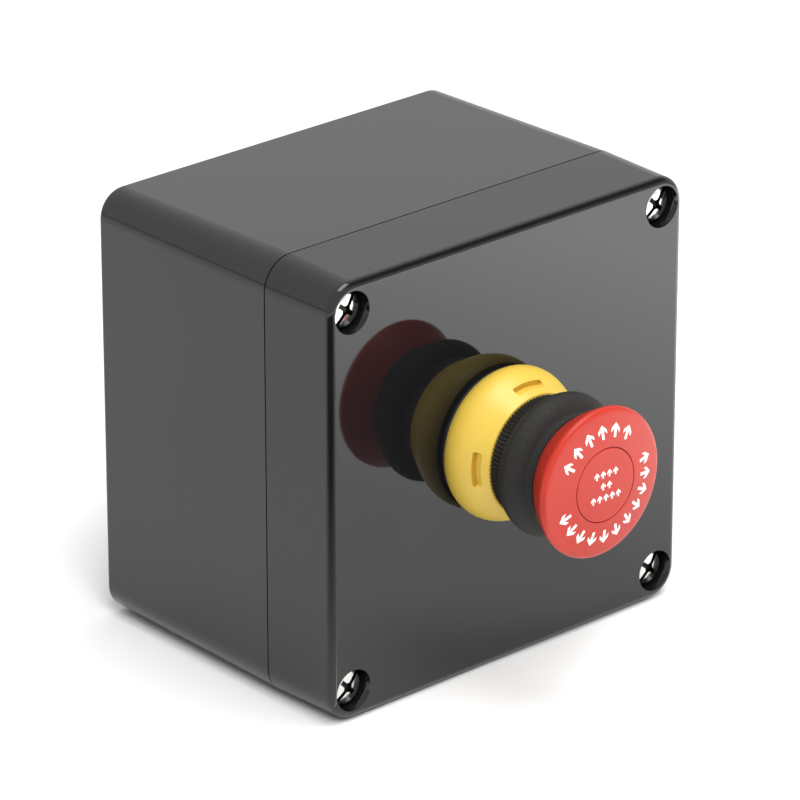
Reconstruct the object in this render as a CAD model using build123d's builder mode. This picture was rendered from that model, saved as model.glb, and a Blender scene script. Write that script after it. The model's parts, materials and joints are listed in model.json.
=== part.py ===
from build123d import *
import math
import os

os.makedirs("parts", exist_ok=True)

# Emergency stop station, millimetres. The back face lies on Y = 0, the button points along -Y,
# +Z is up and +X is right as seen from in front. "Stand-off" is measured outwards from the
# lid's front face, so pieces inside the enclosure have a negative stand-off.

# Enclosure
case_width = 122.0
case_height = 120.0
case_depth = 90.0
lid_depth = 24.0
corner_radius = 8.5
wall = 4.5
floor_thickness = 5.0
lid_face = 4.0
base_draft = 1.0
lid_draft = 0.6
seam_gap = 0.4
seam_inset = 1.2
lid_edge_round = 2.0
base_edge_round = 1.5
cavity_round = 2.0

# Corner posts, lid screws and wall fixings
screw_inset_x = 8.0
screw_inset_z = 8.5
fixing_inset_x = 8.0
fixing_inset_z = 19.0
post_margin_x = 8.0
post_margin_z = 7.5
fit = 0.05
screw_radius = 2.95
screw_head_radius = screw_radius + 2.15
screw_head_height = 3.6
screw_recess_radius = screw_head_radius + 0.55
screw_recess_depth = 7.0
screw_length = 28.2
screw_slot = 1.2
screw_slot_depth = 1.5
screw_cross_length = 6.0
screw_hole_radius = screw_radius + 0.45
washer_radius = screw_recess_radius - 0.95
washer_thickness = 1.2
insert_radius = screw_radius + 1.25
insert_length = 12.0
insert_set_back = 0.3
fixing_hole_radius = 3.25
fixing_head_radius = fixing_hole_radius + 1.95
fixing_web = 8.0

# Seal between base and lid
tongue_inner = 1.0
tongue_width = 1.6
tongue_height = 1.6
groove_clearance = 0.3
groove_depth = 3.0

# Cable entry in the bottom wall, M20 x 1.5
entry_radius = 9.25
entry_boss_radius = entry_radius + 4.25
entry_boss_height = 5.0
entry_face_radius = entry_radius + 3.25
entry_face_depth = 1.1

# Earth bar on the floor of the base
boss_x = 22.0
boss_z = 36.0
boss_radius = 5.0
boss_height = 8.0
earth_screw_radius = 1.95
floor_insert_radius = earth_screw_radius + 0.95
floor_insert_length = 7.0
earth_bar_length = 56.0
earth_bar_width = 10.0
earth_bar_thickness = 3.0
earth_screw_head_radius = 3.8
earth_screw_head_height = 2.4
earth_screw_length = 8.0
earth_clamp_x = 8.0
earth_clamp_size = 7.5
earth_clamp_thickness = 1.2

# Button: outer pieces, stacked outwards from the lid. The button stands above and left of the middle.
button_x = -4.5
button_z = 4.0
barrel_radius = 11.0
panel_hole_radius = barrel_radius + 0.15
barrel_flange_radius = barrel_radius + 2.5
barrel_neck_radius = barrel_radius + 1.4
barrel_rear = -22.0
flange_seat = 9.0
flange_thickness = 2.6
seal_radius = 18.6
seal_thickness = 1.4
clamp_ring_radius = barrel_neck_radius + 3.1
clamp_ring_tooth = 0.4
clamp_ring_teeth = 90
clamp_ring_height = 4.5
clamp_ring_knurl = 3.6
clamp_lip = 0.8
collar_base_radius = 19.3
collar_radius = 20.4
collar_waist = 4.2
collar_shoulder_radius = 18.1
collar_shoulder = 11.4
collar_top_radius = clamp_ring_radius + clamp_ring_tooth + 0.3
collar_top = 14.6
collar_slot_arc = collar_shoulder_radius - 0.2
collar_slot_angle = 26.0
collar_slot_width = 1.3
collar_slot_depth = 0.75
clamp_ring_top = collar_top + 0.1 + clamp_ring_height
barrel_front = clamp_ring_top - 1.9
bulge_radius = 19.0
bulge_top = clamp_ring_top + 4.8
bellows_wall = 1.2
bellows_waist_radius = 15.0
bellows_foot_radius = barrel_neck_radius - 0.1
bellows_foot_inner = bellows_foot_radius - 1.9
head_radius = 20.0
head_neck_radius = bellows_waist_radius + 0.2
head_back = clamp_ring_top + 10.4
head_rim_bottom = head_back + 6.6
head_rim_top = head_back + 8.6
head_top = head_back + 10.2
head_hub_radius = 8.0
head_hub_bottom = head_back - 5.0
legend_radius = 9.75
legend_groove = 0.2
legend_pocket = head_top - 1.3
legend_crown = 0.3
push_stroke = 5.0

# Button: inner pieces
stem_radius = 6.0
stem_bore_radius = stem_radius + 0.08
head_screw_radius = 2.0
head_screw_head_radius = head_screw_radius + 1.9
head_screw_head_height = 2.4
head_screw_seat = legend_pocket - 3.0
head_screw_tip = head_screw_seat - 20.0
nut_radius = barrel_radius + 5.0
nut_thickness = 5.5
nut_notches = 6
washer_lug = 2.0
locating_radius = barrel_radius + 3.5
locating_thickness = 1.0
latch_place = -13.5
latch_pin_radius = 1.5
latch_spring_length = 2.4
latch_slope = 0.18
latch_start_radius = stem_radius - 0.4
latch_band_radius = barrel_radius + 1.4
latch_band_width = 5.0
spring_wire = 0.5
pusher_radius = 10.6
pusher_thickness = 2.2
pusher_screw_radius = 1.5
pusher_screw_head_radius = pusher_screw_radius + 1.3
pusher_screw_head_height = 1.6
pusher_screw_length = 8.0

# Contact blocks and their holder
holder_height = 40.0
holder_plate = 5.5
holder_side = 1.5
holder_reach = 12.0
holder_screw_radius = 1.5
block_gap = 0.7
block_width = 19.6
block_height = 40.0
block_depth = 27.4
block_wall = 1.4
block_cover = 1.2
plunger_width = 5.0
plunger_height = 6.0
plunger_play = 0.1
clip_height = 10.0
clip_length = 5.0
clip_reach = 0.9
bridge_length = 22.0
bridge_width = 4.0
bridge_thickness = 1.0
tip_radius = 1.3
tip_height = 0.6
tip_spacing = 19.0
terminal_spacing = 31.2
terminal_screw_radius = 1.5
terminal_head_radius = terminal_screw_radius + 1.2
strip_thickness = 0.8
contact_spring_radius = plunger_width / 2 + 0.1

# Worked out from the sizes above
half_width = case_width / 2
half_height = case_height / 2
seam_y = -(case_depth - lid_depth)
screw_x = half_width - screw_inset_x
screw_z = half_height - screw_inset_z
fixing_x = half_width - fixing_inset_x
fixing_z = half_height - fixing_inset_z
post_x = fixing_x - post_margin_x
post_z = fixing_z - post_margin_z
rim_stand_off = -lid_depth
lid_rim = rim_stand_off + seam_gap
lid_inside = -lid_face
head_low = washer_thickness - screw_recess_depth
head_high = head_low + screw_head_height
screw_tip = head_low - screw_length
pusher_front = barrel_rear - 0.2
pusher_rear = pusher_front - pusher_thickness
block_front = pusher_rear - push_stroke - 1.2
block_rear = block_front - block_depth
block_x = (block_gap + block_width) / 2
bridge_front = block_front - 7.4
corner_screws = [(x, z) for x in (-screw_x, screw_x) for z in (-screw_z, screw_z)]
wall_fixings = [(x, z) for x in (-fixing_x, fixing_x) for z in (-fixing_z, fixing_z)]
button_axis = Axis((0, -case_depth, 0), (0, -1, 0))
button_place = Location((button_x, 0, button_z))
section = Plane(origin=(0, -case_depth, 0), x_dir=(1, 0, 0), z_dir=(0, 0, -1))


def facing(stand_off, x=0.0, z=0.0):
    # plane parallel to the lid's face, its normal pointing out at the user
    return Plane(origin=(x, -case_depth - stand_off, z), x_dir=(1, 0, 0), z_dir=(0, -1, 0))


def save(part, name):
    part.label = name
    export_step(part, f"parts/{name}.step")


def save_on_button(part, name):
    # these pieces are drawn about the middle of the lid and moved to the button's own place
    save(part.moved(button_place), name)


def turned(*outline, mode=Mode.ADD):
    # a ring or shaft about the button's axis, from (radius, stand-off) corners
    with BuildSketch(section) as profile:
        with BuildLine():
            Polyline(*outline, close=True)
        make_face()
    revolve(profile.sketch, axis=button_axis, mode=mode)


def disc(radius, low, high, places=((0, 0),), mode=Mode.ADD):
    # round bars or holes parallel to the button, between two stand-offs
    with BuildSketch(facing(low)) as circles:
        with Locations(*places):
            Circle(radius)
    extrude(circles.sketch, amount=high - low, mode=mode)


def block(width, height, low, high, places=((0, 0),), mode=Mode.ADD):
    # rectangular bars or pockets parallel to the button, between two stand-offs
    with BuildSketch(facing(low)) as rectangles:
        with Locations(*places):
            Rectangle(width, height)
    extrude(rectangles.sketch, amount=high - low, mode=mode)


def cavity(low, high, grow=0.0, mode=Mode.SUBTRACT):
    # the room between the corner posts, grown outwards evenly by "grow"
    wide = case_width - 2 * (wall - grow)
    tall = case_height - 2 * (wall - grow)
    with BuildSketch(facing(low)) as outline:
        Rectangle(wide, tall)
        with Locations(*[(sx * half_width, sz * half_height) for sx in (-1, 1) for sz in (-1, 1)]):
            Rectangle(2 * (half_width - post_x - grow), 2 * (half_height - post_z - grow),
                mode=Mode.SUBTRACT)
        fillet(outline.vertices(), cavity_round)
    extrude(outline.sketch, amount=high - low, mode=mode)


def seal_ring(inner, width, low, high, mode=Mode.ADD):
    # closed band that follows the cavity, "inner" outside its edge
    with BuildPart(mode=Mode.PRIVATE) as band:
        cavity(low, high, grow=inner + width, mode=Mode.ADD)
        cavity(low - 1, high + 1, grow=inner)
    add(band.part, mode=mode)


def coil(radius, wire, length, turns, plane):
    # compression spring standing on a plane
    path = Helix(pitch=(length - wire) / turns, height=length - wire, radius=radius)
    with BuildPart(mode=Mode.PRIVATE) as spring:
        with BuildSketch(Plane(origin=path @ 0, z_dir=path % 0)):
            Circle(wire / 2)
        sweep(path=path, is_frenet=True)
    lift = wire / 2
    add(plane.location * Location((0, 0, lift)) * spring.part)


# ---- Enclosure ----

with BuildPart() as base_box:
    with BuildSketch(facing(rim_stand_off)):
        RectangleRounded(case_width, case_height, corner_radius)
    extrude(amount=-(case_depth - lid_depth), taper=math.degrees(math.atan2(base_draft,
        case_depth - lid_depth)))
    fillet(base_box.faces().sort_by(Axis.Y)[-1].edges(), base_edge_round)
    with BuildSketch(facing(rim_stand_off - 1)):
        RectangleRounded(case_width - 2 * seam_inset, case_height - 2 * seam_inset,
            corner_radius - seam_inset)
    extrude(amount=1 + seam_gap - fit)
    cavity(floor_thickness - case_depth, 1)
    seal_ring(tongue_inner, tongue_width, rim_stand_off - 1, rim_stand_off + tongue_height)
    disc(boss_radius, -case_depth + 1, floor_thickness + boss_height - case_depth,
        [(-boss_x, -boss_z), (boss_x, -boss_z)])
    disc(floor_insert_radius + fit, floor_thickness - case_depth, 0,
        [(-boss_x, -boss_z), (boss_x, -boss_z)], Mode.SUBTRACT)
    disc(insert_radius + fit, rim_stand_off - insert_length - insert_set_back, 1, corner_screws,
        Mode.SUBTRACT)
    disc(screw_radius + 0.3, screw_tip - 1.5, 1, corner_screws, Mode.SUBTRACT)
    disc(fixing_head_radius, fixing_web - case_depth, 0, wall_fixings, Mode.SUBTRACT)
    disc(fixing_hole_radius, -case_depth - 1, 0, wall_fixings, Mode.SUBTRACT)
    with BuildSketch(Plane.XY.offset(-half_height + wall / 2)):
        with Locations((0, seam_y / 2)):
            Circle(entry_boss_radius)
    extrude(amount=wall / 2 + entry_boss_height)
    with BuildSketch(Plane.XY.offset(-half_height - 1)):
        with Locations((0, seam_y / 2)):
            Circle(entry_face_radius)
    extrude(amount=1 + entry_face_depth, mode=Mode.SUBTRACT)
    with BuildSketch(Plane.XY.offset(-half_height - 1)):
        with Locations((0, seam_y / 2)):
            Circle(entry_radius)
    extrude(amount=wall + entry_boss_height + 2, mode=Mode.SUBTRACT)
save(base_box.part, "base_box")

with BuildPart() as lid:
    with BuildSketch(facing(lid_rim)):
        RectangleRounded(case_width, case_height, corner_radius)
    extrude(amount=-lid_rim, taper=math.degrees(math.atan2(lid_draft, -lid_rim)))
    fillet(lid.faces().sort_by(Axis.Y)[0].edges(), lid_edge_round)
    cavity(lid_rim - 1, lid_inside)
    groove = tongue_inner - groove_clearance
    groove_width = tongue_width + 2 * groove_clearance
    seal_ring(groove, groove_width, lid_rim - 1, lid_rim + groove_depth, Mode.SUBTRACT)
    disc(screw_recess_radius, -screw_recess_depth, 1, corner_screws, Mode.SUBTRACT)
    disc(screw_hole_radius, lid_rim - 1, 0, corner_screws, Mode.SUBTRACT)
    disc(panel_hole_radius, lid_inside - 1, 1, [(button_x, button_z)], Mode.SUBTRACT)
save(lid.part, "lid")

with BuildPart() as lid_gasket:
    gasket_low = rim_stand_off + tongue_height + fit
    seal_ring(groove + fit, groove_width - 2 * fit, gasket_low, lid_rim + groove_depth - fit)
save(lid_gasket.part, "lid_gasket")

with BuildPart() as lid_screws:
    disc(screw_head_radius, head_low, head_high, corner_screws)
    fillet(lid_screws.faces().filter_by(Axis.Y).group_by(Axis.Y)[0].edges(), 0.9)
    disc(screw_radius, screw_tip, head_low + 1, corner_screws)
    for number, place in enumerate(corner_screws):
        with BuildSketch(facing(head_high - screw_slot_depth)):
            with Locations(Location((place[0], place[1], 0), (0, 0, 52 + 7 * number))):
                Rectangle(2 * screw_head_radius + 1, screw_slot)
                Rectangle(screw_slot, screw_cross_length)
        extrude(amount=screw_slot_depth + 1, mode=Mode.SUBTRACT)
save(lid_screws.part, "lid_screws")

with BuildPart() as lid_screw_seals:
    disc(washer_radius, -screw_recess_depth, washer_thickness - screw_recess_depth, corner_screws)
    disc(screw_radius + fit, -screw_recess_depth - 1, 0, corner_screws, Mode.SUBTRACT)
save(lid_screw_seals.part, "lid_screw_seals")

with BuildPart() as screw_inserts:
    insert_top = rim_stand_off - insert_set_back
    disc(insert_radius, insert_top - insert_length, insert_top, corner_screws)
    disc(screw_radius + fit, insert_top - insert_length - 1, 0, corner_screws, Mode.SUBTRACT)
save(screw_inserts.part, "screw_inserts")

with BuildPart() as floor_inserts:
    boss_top = floor_thickness + boss_height - case_depth
    disc(floor_insert_radius, boss_top - floor_insert_length, boss_top,
        [(-boss_x, -boss_z), (boss_x, -boss_z)])
    disc(earth_screw_radius + fit, -case_depth, 0, [(-boss_x, -boss_z), (boss_x, -boss_z)], Mode.SUBTRACT)
save(floor_inserts.part, "floor_inserts")

earth_places = [(x, -boss_z) for x in (-boss_x, -earth_clamp_x, earth_clamp_x, boss_x)]
clamp_places = earth_places[1:3]
bar_top = boss_top + earth_bar_thickness

with BuildPart() as earth_bar:
    block(earth_bar_length, earth_bar_width, boss_top, bar_top, [(0, -boss_z)])
    fillet(earth_bar.edges().filter_by(Axis.Y), 2.0)
    disc(earth_screw_radius + fit, boss_top - 1, 0, earth_places, Mode.SUBTRACT)
save(earth_bar.part, "earth_bar")

with BuildPart() as earth_clamps:
    clamp_low = bar_top + 0.8
    block(earth_clamp_size, earth_clamp_size, clamp_low, clamp_low + earth_clamp_thickness, clamp_places)
    disc(earth_screw_radius + fit, clamp_low - 1, 0, clamp_places, Mode.SUBTRACT)
save(earth_clamps.part, "earth_clamps")

with BuildPart() as earth_screws:
    for places, seat in ((clamp_places, clamp_low + earth_clamp_thickness), (earth_places[::3], bar_top)):
        disc(earth_screw_head_radius, seat, seat + earth_screw_head_height, places)
        disc(earth_screw_radius, seat - earth_screw_length, seat + 1, places)
        block(2 * earth_screw_head_radius + 1, 1.0, seat + 1.4, seat + 5, places, Mode.SUBTRACT)
save(earth_screws.part, "earth_screws")

# ---- Button, outside the lid ----

with BuildPart() as collar_seal:
    disc(seal_radius, 0, seal_thickness)
    disc(panel_hole_radius, -1, seal_thickness + 1, mode=Mode.SUBTRACT)
save_on_button(collar_seal.part, "collar_seal")

with BuildPart() as yellow_collar:
    with BuildSketch(section):
        with BuildLine():
            Polyline((collar_base_radius, seal_thickness), (panel_hole_radius, seal_thickness),
                     (panel_hole_radius, flange_seat), (barrel_flange_radius + 0.2, flange_seat),
                     (barrel_flange_radius + 0.2, collar_top), (collar_top_radius, collar_top))
            Spline((collar_top_radius, collar_top), (collar_shoulder_radius, collar_shoulder),
                   (collar_radius, collar_waist), (collar_base_radius, seal_thickness))
        make_face()
    revolve(axis=button_axis)
    with BuildSketch(facing(collar_shoulder - collar_slot_depth)):
        for quarter in range(4):
            slot_start = 90 * quarter - collar_slot_angle / 2
            SlotArc(CenterArc((0, 0), collar_slot_arc, slot_start, collar_slot_angle), collar_slot_width)
    extrude(amount=collar_top, mode=Mode.SUBTRACT)
save_on_button(yellow_collar.part, "yellow_collar")

with BuildPart() as barrel:
    turned((barrel_radius, barrel_rear), (barrel_radius, flange_seat), (barrel_flange_radius, flange_seat),
           (barrel_flange_radius, flange_seat + flange_thickness),
           (barrel_neck_radius, flange_seat + flange_thickness),
           (barrel_neck_radius, barrel_front), (stem_bore_radius, barrel_front),
           (stem_bore_radius, barrel_rear))
    with BuildSketch(Plane.XY.offset(-barrel_radius - 1)):
        with Locations((0, -case_depth - latch_place)):
            Circle(latch_pin_radius + fit)
    extrude(amount=2 * barrel_radius + 2, mode=Mode.SUBTRACT)
save_on_button(barrel.part, "barrel")

with BuildPart() as clamp_ring:
    ring_low = collar_top + 0.1
    with BuildSketch(facing(ring_low)):
        with BuildLine():
            teeth = []
            for step in range(2 * clamp_ring_teeth):
                reach = clamp_ring_radius + (clamp_ring_tooth if step % 2 else 0)
                turn = math.pi * step / clamp_ring_teeth
                teeth.append((reach * math.cos(turn), reach * math.sin(turn)))
            Polyline(*teeth, close=True)
        make_face()
    extrude(amount=clamp_ring_knurl)
    disc(clamp_ring_radius - 0.1, ring_low, clamp_ring_top)
    disc(barrel_neck_radius + fit, ring_low - 1, clamp_ring_top - clamp_lip, mode=Mode.SUBTRACT)
    disc(bellows_foot_radius - 0.5, ring_low - 1, clamp_ring_top + 1, mode=Mode.SUBTRACT)
save_on_button(clamp_ring.part, "clamp_ring")

with BuildPart() as bellows:
    foot_top = clamp_ring_top - clamp_lip - fit
    waist_low = bulge_top + 3.6
    lip_low = head_back - 1.1
    lip_top = head_back - fit
    neck_hole = bellows_foot_radius - 0.55
    with BuildSketch(section):
        with BuildLine():
            outside = Polyline(
                (bellows_foot_inner, barrel_front + fit), (bellows_foot_radius, barrel_front + fit),
                (bellows_foot_radius, foot_top), (neck_hole, foot_top), (neck_hole, clamp_ring_top + 0.1),
                (bulge_radius - 2.4, clamp_ring_top + 0.2), (bulge_radius - 0.5, clamp_ring_top + 1.0),
                (bulge_radius, clamp_ring_top + 2.2), (bulge_radius, bulge_top))
            ThreePointArc(outside @ 1, (bulge_radius - 1.3, bulge_top + 2.1),
                (bellows_waist_radius, waist_low))
            lip = Polyline(
                (bellows_waist_radius, waist_low), (bellows_waist_radius, lip_low),
                (bellows_waist_radius + 0.6, lip_low), (bellows_waist_radius + 0.6, lip_top),
                (head_hub_radius + 0.1, lip_top), (head_hub_radius + 0.1, lip_low),
                (bellows_waist_radius - bellows_wall, lip_low),
                (bellows_waist_radius - bellows_wall, waist_low))
            ThreePointArc(lip @ 1, (bulge_radius - 1.1 - bellows_wall, bulge_top + 1.3),
                          (bulge_radius - bellows_wall, bulge_top))
            Polyline((bulge_radius - bellows_wall, bulge_top),
                (bulge_radius - bellows_wall, clamp_ring_top + 2.4),
                     (bulge_radius - 2.4, clamp_ring_top + 1.4), (bellows_foot_inner, clamp_ring_top + 1.3),
                     (bellows_foot_inner, barrel_front + fit))
        make_face()
    revolve(axis=button_axis)
save_on_button(bellows.part, "bellows")

with BuildPart() as mushroom_head:
    pocket_radius = legend_radius + legend_groove
    with BuildSketch(section):
        with BuildLine():
            inside = Polyline(
                (pocket_radius, head_top), (pocket_radius, legend_pocket),
                (head_screw_head_radius + 0.3, legend_pocket),
                (head_screw_head_radius + 0.3, head_screw_seat),
                (head_screw_radius + 0.1, head_screw_seat), (head_screw_radius + 0.1, head_hub_bottom),
                (head_hub_radius, head_hub_bottom), (head_hub_radius, head_back),
                (head_neck_radius, head_back))
            ThreePointArc(inside @ 1, (head_radius - 2.6, head_back + 3.0),
                (head_radius - 0.4, head_rim_bottom))
            Line((head_radius - 0.4, head_rim_bottom), (head_radius, head_rim_top - 0.9))
            ThreePointArc((head_radius, head_rim_top - 0.9), (head_radius - 0.15, head_rim_top - 0.3),
                          (head_radius - 0.9, head_rim_top + 0.25))
            ThreePointArc((head_radius - 0.9, head_rim_top + 0.25), (head_radius * 0.75, head_top - 0.58),
                          (pocket_radius, head_top))
        make_face()
    revolve(axis=button_axis)
save_on_button(mushroom_head.part, "mushroom_head")

with BuildPart() as legend_disc:
    with BuildSketch(section):
        with BuildLine():
            Polyline((0, head_top + legend_crown), (0, legend_pocket), (legend_radius, legend_pocket),
                     (legend_radius, head_top), (legend_radius / 2, head_top + 0.75 * legend_crown),
                     close=True)
        make_face()
    revolve(axis=button_axis)
save_on_button(legend_disc.part, "legend_disc")

# ---- Button, inside ----

with BuildPart() as head_screw:
    disc(head_screw_head_radius, head_screw_seat, head_screw_seat + head_screw_head_height)
    disc(head_screw_radius, head_screw_tip, head_screw_seat + 1)
    with BuildSketch(facing(head_screw_seat + 0.9)):
        Rectangle(5.0, 1.1)
        Rectangle(1.1, 5.0)
    extrude(amount=5, mode=Mode.SUBTRACT)
save_on_button(head_screw.part, "head_screw")

latch_low = latch_place - latch_pin_radius - 0.2
latch_high = latch_place + latch_pin_radius + push_stroke + 0.2


def latch_cone(stand_off):
    # radius of the stem's cone at a stand-off, with the button out
    return latch_start_radius - latch_slope * (stand_off - latch_place)


with BuildPart() as stem:
    stem_front = head_hub_bottom - fit
    turned((0, pusher_front), (stem_radius - 0.1, pusher_front), (latch_cone(latch_low), latch_low),
           (latch_cone(latch_high), latch_high), (stem_radius, latch_high + 0.8), (stem_radius, stem_front),
           (0, stem_front))
    disc(head_screw_radius + fit, head_screw_tip - 1, stem_front + 1, mode=Mode.SUBTRACT)
    disc(pusher_screw_radius + fit, pusher_front - 1, pusher_front + pusher_screw_length,
        mode=Mode.SUBTRACT)
save_on_button(stem.part, "stem")

with BuildPart() as pusher_plate:
    disc(pusher_radius, pusher_rear, pusher_front - fit)
    disc(pusher_screw_radius + fit, pusher_rear - 1, pusher_front, mode=Mode.SUBTRACT)
    disc(pusher_screw_head_radius + 0.2, pusher_rear - 1, pusher_rear + 1.0, mode=Mode.SUBTRACT)
save_on_button(pusher_plate.part, "pusher_plate")

with BuildPart() as pusher_screw:
    screw_seat = pusher_rear + 1.0
    disc(pusher_screw_head_radius, screw_seat - pusher_screw_head_height, screw_seat)
    disc(pusher_screw_radius, screw_seat - 0.5, pusher_front + pusher_screw_length - 1)
    block(2 * pusher_screw_head_radius + 1, 0.8, screw_seat - 5, screw_seat - 0.9, mode=Mode.SUBTRACT)
save_on_button(pusher_screw.part, "pusher_screw")

pin_nose = latch_cone(latch_place - latch_pin_radius) + fit
pin_back = barrel_radius - latch_spring_length
latch_axis_y = -case_depth - latch_place

for side, pin_name, spring_name in ((1, "latch_pin_top", "latch_spring_top"),
                                    (-1, "latch_pin_bottom", "latch_spring_bottom")):
    with BuildPart() as latch_pin:
        with BuildSketch(Plane(origin=(0, latch_axis_y, side * pin_nose), z_dir=(0, 0, side))):
            Circle(latch_pin_radius)
        extrude(amount=pin_back - pin_nose)
    save_on_button(latch_pin.part, pin_name)
    with BuildPart() as latch_spring:
        spring_seat = Plane(origin=(0, latch_axis_y, side * (pin_back + fit)), z_dir=(0, 0, side))
        coil(latch_pin_radius - 0.45, 0.3, barrel_radius - pin_back - 2 * fit, 4, spring_seat)
    save_on_button(latch_spring.part, spring_name)

with BuildPart() as latch_band:
    disc(latch_band_radius, latch_place - latch_band_width / 2, latch_place + latch_band_width / 2)
    disc(barrel_radius + fit, barrel_rear, 0, mode=Mode.SUBTRACT)
save_on_button(latch_band.part, "latch_band")

with BuildPart() as locating_washer:
    washer_low = lid_inside - locating_thickness
    disc(locating_radius, washer_low, lid_inside)
    block(2 * washer_lug, 2 * washer_lug, washer_low, lid_inside, [(0, locating_radius)])
    disc(barrel_radius + fit, barrel_rear, 0, mode=Mode.SUBTRACT)
save_on_button(locating_washer.part, "locating_washer")

with BuildPart() as lock_nut:
    nut_low = washer_low - nut_thickness
    disc(nut_radius, nut_low, washer_low)
    chamfer(lock_nut.faces().filter_by(Axis.Y).edges(), 0.6)
    with BuildSketch(facing(nut_low - 1)):
        with PolarLocations(nut_radius, nut_notches):
            Rectangle(4.0, 4.0)
    extrude(amount=nut_thickness + 2, mode=Mode.SUBTRACT)
    disc(barrel_radius + fit, barrel_rear, 0, mode=Mode.SUBTRACT)
save_on_button(lock_nut.part, "lock_nut")

# ---- Contact blocks and holder ----

plate_low = barrel_rear
plate_high = barrel_rear + holder_plate
side_x = block_x + block_width / 2 + fit + holder_side / 2
clip_low = block_front - holder_reach + 4.0
outer_width = 2 * side_x + holder_side

with BuildPart() as contact_holder:
    block(outer_width, holder_height, plate_low, plate_high)
    block(holder_side, holder_height, block_front - holder_reach, plate_high, [(-side_x, 0), (side_x, 0)])
    block(outer_width, 2.0, block_front + fit, plate_high,
        [(0, holder_height / 2 - 1), (0, 1 - holder_height / 2)])
    fillet(contact_holder.edges().filter_by(Axis.Y).group_by(Axis.X)[0], 0.6)
    disc(barrel_radius + fit, plate_low - 1, 0, mode=Mode.SUBTRACT)
    with BuildSketch(Plane.YZ.offset(-outer_width)):
        with Locations((-case_depth - clip_low - clip_length / 2, 0)):
            Rectangle(clip_length + 0.4, clip_height + 0.4)
    extrude(amount=2 * outer_width, mode=Mode.SUBTRACT)
    with BuildSketch(Plane.XY.offset(-holder_height)):
        with Locations((0, -case_depth - (plate_low + plate_high) / 2)):
            Circle(holder_screw_radius + fit)
    extrude(amount=2 * holder_height, mode=Mode.SUBTRACT)
save_on_button(contact_holder.part, "contact_holder")

with BuildPart() as holder_screws:
    for side in (-1, 1):
        with BuildSketch(Plane(origin=(0, -case_depth - (plate_low + plate_high) / 2,
            side * (barrel_radius + 0.1)),
                               z_dir=(0, 0, side))):
            Circle(holder_screw_radius)
        extrude(amount=holder_height / 2 - barrel_radius - 0.6)
save_on_button(holder_screws.part, "holder_screws")

tip_places = [-tip_spacing / 2, tip_spacing / 2]
terminal_places = [-terminal_spacing / 2, terminal_spacing / 2]
strip_front = bridge_front + tip_height + fit
terminal_front = block_rear + 7.8
screw_seat_low = block_rear + 3.4
leg_reach = bridge_length / 2 + 1.6

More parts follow.
